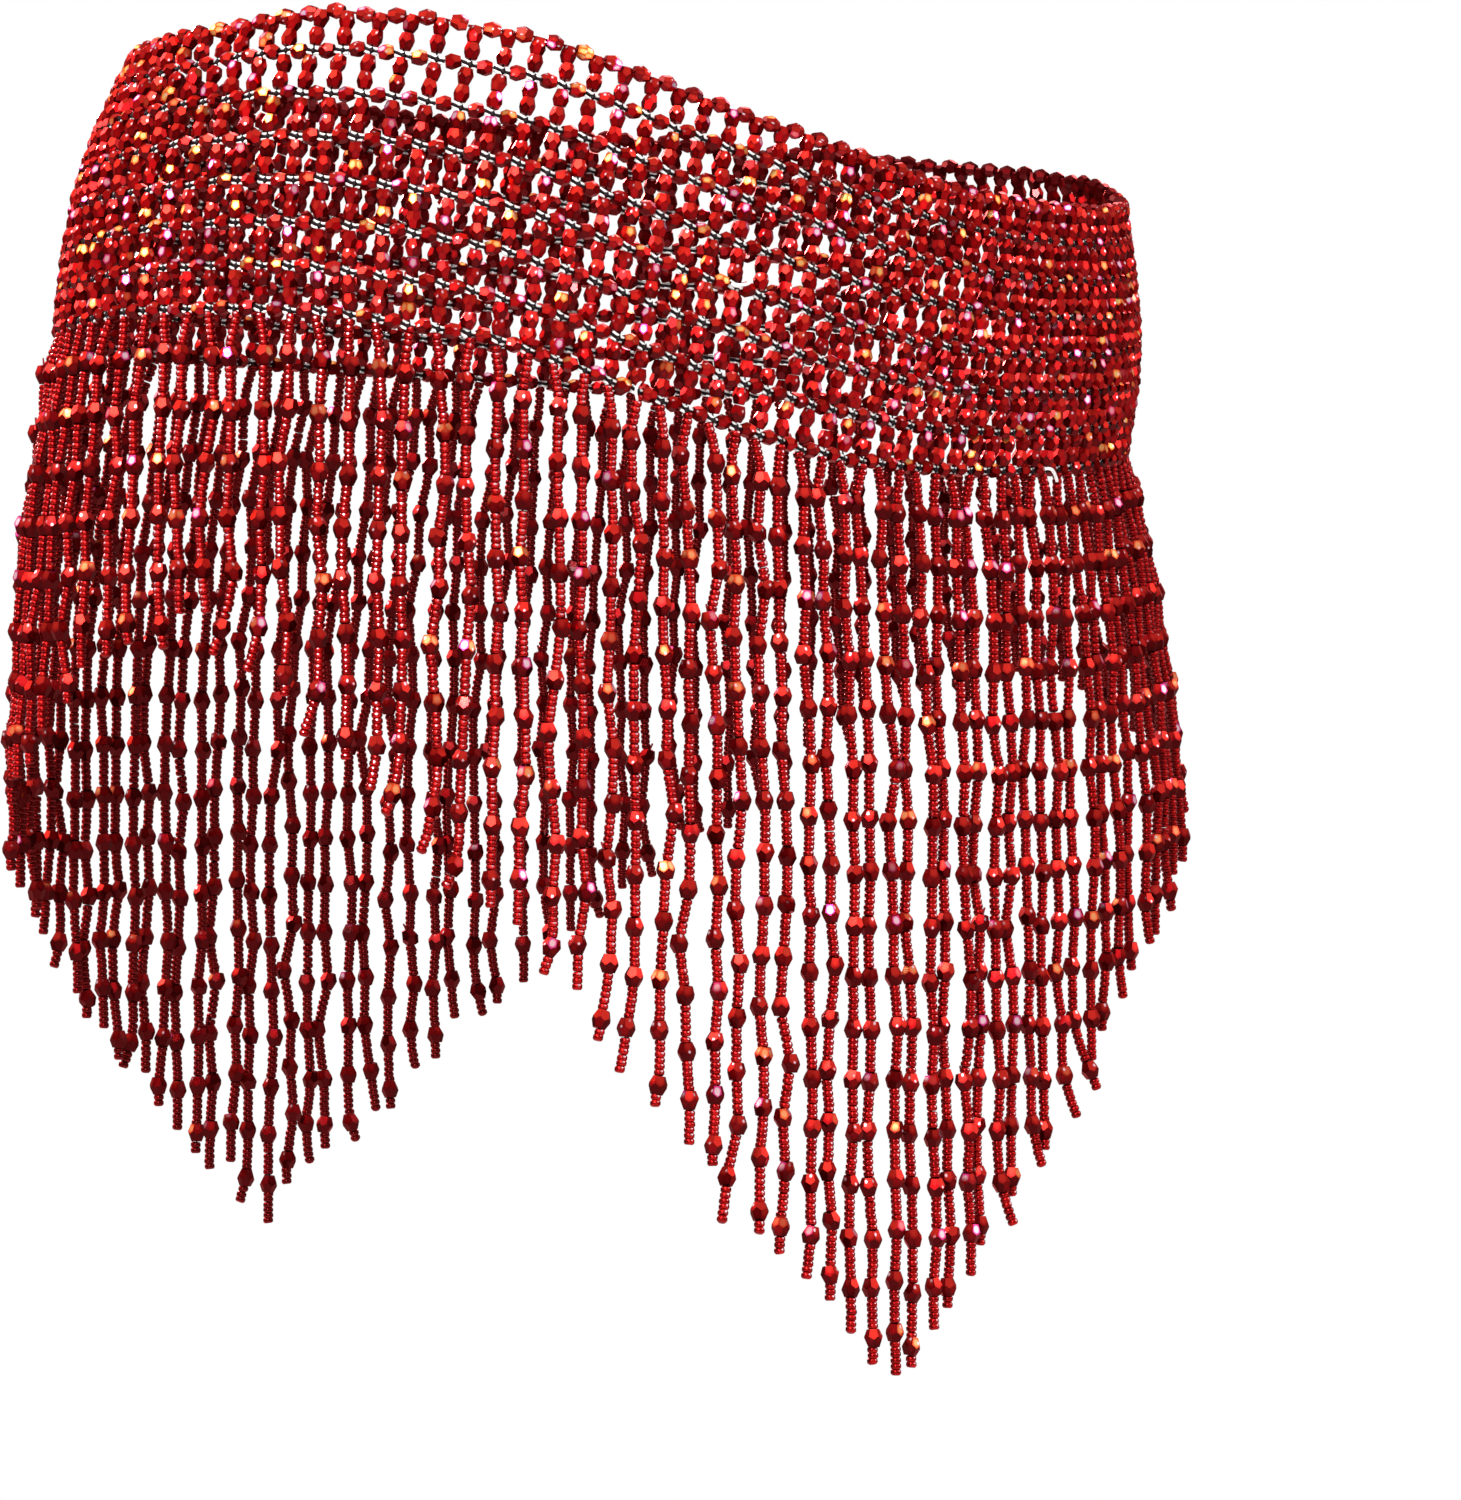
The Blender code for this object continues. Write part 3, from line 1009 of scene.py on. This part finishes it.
@dataclass
class LooseThreads:
    """Thread ends and slack loops that stand off the net."""

    band: NetBand
    ends: tuple[LooseEnd, ...] = (
        LooseEnd(10, 4, 1.1, ((-2.0, 0.2, 0.8), (-0.6, 0.1, 1.7), (0.8, -0.6, 1.9), (1.9, -0.4, 1.5))),
        LooseEnd(10, 4, 0.9, ((0.3, 0.0, 1.6), (-1.4, 0.6, 2.2), (-2.6, 1.6, 2.4), (-3.4, 2.8, 2.3))),
        LooseEnd(112, 7, 1.0, ((1.6, 0.4, 1.0), (0.2, 0.7, 2.0), (-1.9, -0.9, 2.6), (-3.9, -3.9, 2.5))),
        LooseEnd(13, 7, 0.8, ((0.2, 3.2, 1.0), (1.3, 1.2, 2.2), (1.2, -0.6, 2.4), (-0.4, -2.0, 1.8),
                              (-2.0, -2.9, 0.6))),
        LooseEnd(20, 4, 0.8, ((4.6, -1.2, 0.6), (3.4, -2.8, 1.7), (2.0, -4.0, 2.0), (0.9, -4.3, 1.6),
                              (0.5, -3.2, 0.5))),
        LooseEnd(66, 3, 0.9, ((1.2, 0.3, 0.9), (0.0, -0.3, 2.0), (-1.9, 0.6, 2.5), (-2.8, 2.2, 2.4))),
        LooseEnd(88, 7, 1.0, ((1.0, 0.3, 1.0), (-0.4, 0.0, 2.1), (-1.4, -1.8, 2.5), (-1.6, -4.2, 2.3))),
    )

    def build(self, thread: Material) -> Object:
        """Makes all the loose threads as one piece.

        Args:
            thread: Their finish.

        Returns:
            The piece.
        """
        whole = bmesh.new()
        for end in self.ends:
            curve = bpy.data.curves.new("loose_end", "CURVE")
            curve.dimensions = "3D"
            curve.bevel_depth = end.width / 2 * MM
            curve.bevel_resolution = 1
            curve.use_fill_caps = True
            line = curve.splines.new("NURBS")
            line.points.add(len(end.places) - 1)
            line.use_endpoint_u = True
            line.order_u = 3
            for point, place in zip(line.points, end.places):
                point.co = (*(self.spot(end, place) * MM), 1.0)
            holder = bpy.data.objects.new("loose_end", curve)
            tube = bpy.data.meshes.new_from_object(holder)
            whole.from_mesh(tube)
            bpy.data.batch_remove((holder, tube, curve))
        mesh = bpy.data.meshes.new("loose_threads")
        bmesh.ops.recalc_face_normals(whole, faces=whole.faces)
        whole.to_mesh(mesh)
        whole.free()
        mesh.shade_smooth()
        mesh.materials.append(thread)
        return fitted(placed("loose_threads", mesh), Slot.THREAD)

    def spot(self, end: LooseEnd, place: Place) -> ndarray:
        """A place of a loose end in the garment's frame.

        Args:
            end: The loose end.
            place: How far along the row, up and out from its crossing the place lies.

        Returns:
            The point, in millimetres.
        """
        here, along, up, out = (values[end.column] for values in self.band.row(end.line))
        up = up if up[2] > 0 else -up
        return here + place[0] * along + place[1] * up + place[2] * out


@dataclass
class Strand:
    """One hanging strand, with the sway and flick of its packed rod."""

    form: HipForm
    number: int
    pair_draw: float = 0.5
    mouth_draw: float = 0.95
    mouth_depth: float = 6.0
    hang_depth: float = 120.0
    tail: float = 20.0
    sway_start: float = 30.0
    drift_range: Span = (-0.8, 0.8)
    wave_range: Span = (0.26, 0.52)
    wave_lengths: Span = (60.0, 110.0)
    group_sway: float = 1.25
    group_waves: int = 4
    flick_share: float = 0.45
    flick_aside: Span = (2.0, 5.0)
    flick_out: Span = (0.0, 3.0)
    last_strand: int = 90
    kink: float = 0.65
    slip: float = 0.5
    seeds_between: int = 6
    seed_pitch: float = 1.52
    large_length: float = 4.9
    large_counts: range = range(2, 24)
    first_seed: float = -0.6
    tail_seeds: tuple[int, ...] = (2, 3, 6)
    look_ahead: float = 0.5
    bead_seed: int = 1000

    def __post_init__(self) -> None:
        """Works out where the strand starts, how long it is and how it sways."""
        chance = random.Random(self.number)
        self.toward = 1 if self.number % 2 else -1
        bottom_girth = self.form.girth * SECTIONS[-1].half_width
        share = self.number / self.form.columns + self.toward * self.pair_draw / bottom_girth
        place = (np.array((share,)), np.ones(1))
        self.length = self.full_length(self.number)
        self.root = self.form.point(*place)[0]
        self.root[2] -= self.form.bead / 2 + self.form.seam
        self.out = unit(self.form.outward(*place)[0] * (1.0, 1.0, 0.0))
        self.aside = np.cross(UPWARD, self.out)
        self.lean = float(self.form.stations.at(place[0] % 1.0)[0, -1])
        spans = (self.drift_range, self.wave_range, self.wave_lengths, (0.0, FULL_TURN))
        self.drift, self.wave, self.wave_length, self.phase = (chance.uniform(*span) for span in spans)
        self.group_phase = FULL_TURN * self.group_waves * share
        flicks = chance.random() < self.flick_share
        shorter_side = 1 if self.full_length(min(self.number + 1, self.last_strand)) < self.length else -1
        self.aside_flick = chance.uniform(*self.flick_aside) * -shorter_side * flicks
        self.out_flick = chance.uniform(*self.flick_out) * flicks

    @staticmethod
    def full_length(number: int) -> float:
        """Length of a strand, even between those that are given."""
        return float(np.interp(number, [*STRAND_LENGTHS], [*STRAND_LENGTHS.values()]))

    def centre(self, depth: ndarray) -> ndarray:
        """Middle of the strand.

        Args:
            depth: Depths under its root.

        Returns:
            One point for each depth.
        """
        hang = 1 - (1 - np.minimum(depth / self.hang_depth, 1.0)) ** 2
        fade = np.minimum(depth / self.sway_start, 1.0)
        flick = np.maximum(0.0, 1 - (self.length - depth) / self.tail) ** 2
        sway = self.drift * depth / self.length
        sway += self.wave * np.sin(FULL_TURN * depth / self.wave_length + self.phase)
        group = np.sin(self.group_phase + depth / self.hang_depth)
        sway += self.group_sway * group * depth / self.hang_depth
        mouth = np.maximum(0.0, 1 - depth / self.mouth_depth) * self.mouth_draw * self.toward
        out = self.lean * hang + self.out_flick * flick
        side = sway * fade + self.aside_flick * flick + mouth
        points = self.root + out[:, None] * self.out + side[:, None] * self.aside
        points[:, 2] -= depth
        return points

    def strung(self, chance: Generator) -> tuple[ndarray, ndarray]:
        """Strings the beads as near to the strand's length as they come.

        Args:
            chance: Source of the small gaps between them.

        Returns:
            Depths of the seed beads and of the large beads.
        """
        step = self.seeds_between * self.seed_pitch + self.large_length
        _, units, tail_seeds = min(
            (abs(self.length - units * step - seeds * self.seed_pitch), units, seeds)
            for units in self.large_counts for seeds in self.tail_seeds
        )
        depth = self.first_seed - self.seed_pitch / 2
        seeds = []
        large = []
        for slip in chance.normal(0.0, self.slip, units):
            pitch = self.seed_pitch + slip / self.seeds_between
            seeds += [depth + (place + 0.5) * pitch for place in range(self.seeds_between)]
            large.append(depth + self.seeds_between * pitch + self.large_length / 2)
            depth += step + slip
        seeds += [depth + (place + 0.5) * self.seed_pitch for place in range(tail_seeds)]
        return np.array(seeds), np.array(large)

    def copies(self, seed_hang: Hang, large_hang: Hang) -> tuple[Copies, Copies]:
        """Copies of the beads on this strand.

        Args:
            seed_hang: How evenly the seed beads hang.
            large_hang: How evenly the large beads hang.

        Returns:
            The seed beads' copies and the large beads' copies.
        """
        chance = default_rng(self.bead_seed + self.number)
        seeds, large = self.strung(chance)
        bends = np.concatenate(((0.0,), large))
        kinks = chance.normal(0.0, self.kink, (len(bends), 2))
        kinks[0] = 0.0
        made = []
        for depths, hang in ((seeds, seed_hang), (large, large_hang)):
            lines = []
            for depth in (depths, depths + self.look_ahead):
                points = self.centre(depth)
                for direction, kink in zip((self.aside, self.out), kinks.T):
                    points += np.interp(depth, bends, kink)[:, None] * direction
                lines.append(points)
            outs = np.tile(self.out, (len(depths), 1))
            made.append(hang.strung(lines[0], lines[0] - lines[1], outs, chance))
        return made[0], made[1]


@dataclass
class Fringe:
    """The pointed fringe: strands of seed beads with a large bead after every six."""

    form: HipForm
    # Painted light of the large beads, lighter also toward their tops.
    large: FacetedBead = FacetedBead(length=5.0, width=5.1, light=PaintedLight(0.24, 0.52, 0.18))
    seed: SeedBead = SeedBead()
    thread: ThreadStroke = ThreadStroke(length=9.0, width=0.6, bow=0.0, sides=4, steps=1)
    seed_hang: Hang = Hang(tilt=0.08, shift=0.06, spins=False)
    large_hang: Hang = Hang(tilt=0.10, shift=0.10)
    first_strand: int = -29
    strands_a_quarter: int = 30
    quarters: tuple[str, ...] = ("front_left", "front_right", "back_right", "back_left")

    def build(self, finishes: Finishes) -> list[Object]:
        """Makes the fringe's beads, a quarter of the ring at a time, and the thread between them.

        Args:
            finishes: Materials to make them of.

        Returns:
            The pieces.
        """
        pieces = []
        threaded = []
        for quarter, name in enumerate(self.quarters):
            node = "fringe_" + name.split("_")[0]
            first = self.first_strand + quarter * self.strands_a_quarter
            numbers = range(first, first + self.strands_a_quarter)
            pairs = [Strand(self.form, number).copies(self.seed_hang, self.large_hang) for number in numbers]
            chance = default_rng(quarter)
            seeds, large = (Copies(*joined(parts)) for parts in zip(*pairs))
            for bead, copies, kind, glass in (
                (self.seed, seeds, "seeds", finishes.seed_glass),
                (self.large, large, "drops", finishes.fringe_glass),
            ):
                piece = bead.shape().copied(f"fringe_{kind}_{name}", copies, glass, chance)
                pieces.append(fitted(piece, Slot.FRINGE, node))
            threaded.append(large)
        whole = Copies(*joined(threaded))
        thread = self.thread.shape().copied("fringe_threads", whole, finishes.red_thread, chance)
        return [*pieces, fitted(thread, Slot.THREAD)]


class Lamp(NamedTuple):
    """A soft lamp aimed at the middle of the scarf, placed by angles in degrees."""

    name: str
    azimuth: float
    elevation: float
    distance: float
    size: float
    power: float
    colour: Colour = (1.0, 0.98, 0.96)


@dataclass
class Studio:
    """Camera, lamps, pale floor and white backdrop."""

    view_azimuth: float = 50.0
    distance: float = 2.0
    aim_height: float = -0.152
    aim_aside: float = 0.0289
    lens: float = 170.4
    floor_height: float = -0.9
    floor_radius: float = 3.6
    floor_sides: int = 96
    floor_colour: Colour = (0.86, 0.86, 0.86)
    floor_roughness: float = 0.7
    ambient_above: float = 0.75
    ambient_below: float = 0.06
    ambient_rise: Ramp = Ramp(-0.35, 0.7)
    lamps: tuple[Lamp, ...] = (
        Lamp("key", -75.0, 45.0, 1.6, 0.9, 21.5, (1.0, 0.97, 0.94)),
        Lamp("front", -62.0, 18.0, 2.3, 0.25, 27.0),
        Lamp("fill", 35.0, 26.0, 1.8, 1.0, 7.5, (1.0, 0.99, 0.98)),
        Lamp("back_left", 115.0, 36.0, 1.8, 0.8, 15.0),
        Lamp("back_right", -165.0, 36.0, 1.8, 0.8, 15.0),
        Lamp("back_spark", 150.0, 18.0, 2.3, 0.25, 22.0),
    )

    def build(self) -> None:
        """Sets up everything that isn't part of the scarf."""
        self.place_camera()
        for lamp in self.lamps:
            self.place_lamp(lamp)
        self.lay_floor()
        self.fill_world()
        bpy.context.scene.view_settings.view_transform = "Standard"

    def place_camera(self) -> None:
        """Level camera at the right front, aimed a little below the band."""
        angle = math.radians(self.view_azimuth)
        ahead = Vector((math.sin(angle), math.cos(angle), 0.0))
        right = Vector((math.cos(angle), -math.sin(angle), 0.0))
        camera = placed("camera", bpy.data.cameras.new("camera"))
        camera.data.lens = self.lens
        camera.location = right * self.aim_aside - ahead * self.distance
        camera.location.z = self.aim_height
        camera.rotation_euler = (math.radians(90), 0.0, -angle)
        bpy.context.scene.camera = camera

    def place_lamp(self, lamp: Lamp) -> None:
        """One round area lamp.

        Args:
            lamp: Its place, size and light.
        """
        azimuth = math.radians(lamp.azimuth)
        elevation = math.radians(lamp.elevation)
        level = math.cos(elevation)
        away = Vector((math.sin(azimuth) * level, -math.cos(azimuth) * level, math.sin(elevation)))
        data = bpy.data.lights.new(lamp.name, "AREA")
        data.shape = "DISK"
        data.size = lamp.size
        data.energy = lamp.power
        data.color = lamp.colour
        light = placed(lamp.name, data)
        light.location = away * lamp.distance + Vector((0.0, 0.0, self.aim_height))
        light.rotation_euler = away.to_track_quat("Z", "Y").to_euler()

    def lay_floor(self) -> None:
        """Plain pale floor, well below the scarf."""
        builder = bmesh.new()
        bmesh.ops.create_circle(builder, cap_ends=True, segments=self.floor_sides, radius=self.floor_radius)
        mesh = bpy.data.meshes.new("floor")
        builder.to_mesh(mesh)
        builder.free()
        material, wiring, shader = new_material("pale_floor")
        wiring.feed(shader, {"Base Color": (*self.floor_colour, 1.0), "Roughness": self.floor_roughness})
        mesh.materials.append(material)
        floor = placed("floor", mesh)
        floor.location.z = self.floor_height

    def fill_world(self) -> None:
        """White backdrop to the camera, and a softer light from above to everything else."""
        world = bpy.data.worlds.new("backdrop")
        world.use_nodes = True
        bpy.context.scene.world = world
        wiring = Wiring(world.node_tree)
        direction = wiring.add("ShaderNodeTexCoord").outputs["Generated"]
        height = wiring.add("ShaderNodeSeparateXYZ", {0: direction}).outputs["Z"]
        above = wiring.step(height, self.ambient_rise)
        more = self.ambient_above - self.ambient_below
        ambient = wiring.math("MULTIPLY_ADD", above, more, self.ambient_below)
        seen = wiring.add("ShaderNodeLightPath").outputs["Is Camera Ray"]
        strength = wiring.math("MAXIMUM", seen, ambient)
        shader = world.node_tree.nodes["Background"]
        wiring.feed(shader, {"Color": (1.0, 1.0, 1.0, 1.0), "Strength": strength})


def corners(box: tuple) -> list[list[float]]:
    """A box's two corners as plain lists."""
    return [[float(value) for value in corner] for corner in box]


def main() -> None:
    """Builds the scarf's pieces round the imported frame."""
    logging.basicConfig(level=logging.INFO, format="%(message)s")
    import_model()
    Studio().build()
    form = HipForm()
    finishes = Finishes()
    net = NetBand(form)
    band = net.build(finishes)
    loose = LooseThreads(net).build(finishes.white_thread)
    fringe = Fringe(form).build(finishes)


if __name__ == "__main__":
    main()
